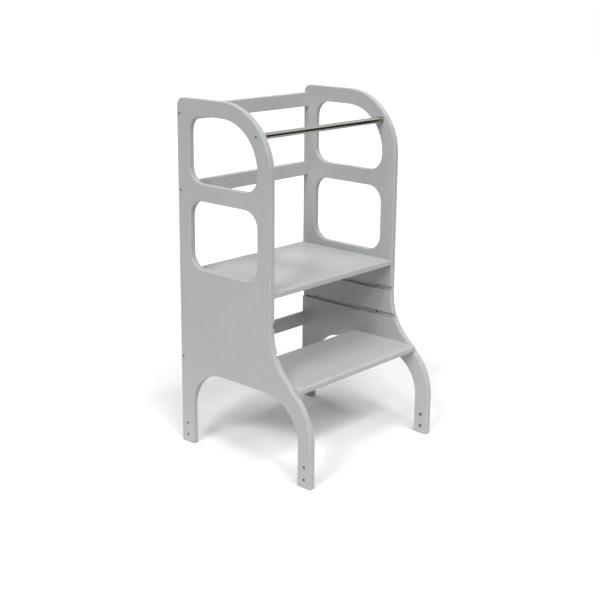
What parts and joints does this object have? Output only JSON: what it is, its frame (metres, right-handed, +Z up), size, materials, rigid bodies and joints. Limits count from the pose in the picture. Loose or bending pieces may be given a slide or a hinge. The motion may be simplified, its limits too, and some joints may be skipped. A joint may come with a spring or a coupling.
{
  "type": "kitchen helper stool",
  "caption": "Toddler kitchen helper stool with curved side panels, height-adjustable standing platform, fixed step, back rails and a steel front rod.",
  "frame": {"origin": "on the floor, at the centre of the stool's bounding box in plan", "axes": "+Z up, -Y towards the front with the step, +X to the right seen from the front, back rails at +Y"},
  "size_m": [0.482, 0.45, 0.9],
  "materials": {
    "grey_lacquer": "satin lacquered board",
    "steel_rod": "brushed",
    "fixing_steel": "zinc plated",
    "bush_steel": "nickel plated",
    "beech": "raw",
    "catch_brass": "turned",
    "catch_steel": "polished"
  },
  "bodies": {
    "frame": {"side_panel_left": "grey_lacquer", "side_panel_right": "grey_lacquer", "back_rail_top": "grey_lacquer", "back_rail_middle": "grey_lacquer", "back_rail_lower": "grey_lacquer", "step_board": "grey_lacquer", "front_rod": "steel_rod", "rail_screw_top_left": "fixing_steel", "rail_screw_top_right": "fixing_steel", "rail_screw_middle_left": "fixing_steel", "rail_screw_middle_right": "fixing_steel", "rail_screw_lower_left": "fixing_steel", "rail_screw_lower_right": "fixing_steel", "rod_screw_left": "fixing_steel", "rail_dowels_left": "beech", "step_dowels_left": "beech", "leg_bushes_front_left": "bush_steel", "leg_bushes_rear_left": "bush_steel", "rod_screw_right": "fixing_steel", "rail_dowels_right": "beech", "step_dowels_right": "beech", "leg_bushes_front_right": "bush_steel", "leg_bushes_rear_right": "bush_steel"},
    "platform_set": {"platform": "grey_lacquer", "catch_sleeves_left": "catch_brass", "catch_balls_left": "catch_steel", "catch_springs_left": "catch_steel", "catch_sleeves_right": "catch_brass", "catch_balls_right": "catch_steel", "catch_springs_right": "catch_steel"}
  },
  "joints": [
    {"name": "platform_slide", "type": "slide", "parent": "frame", "child": "platform_set", "axis": [0, -1, 0], "range_m": [0, 0.33]}
  ]
}
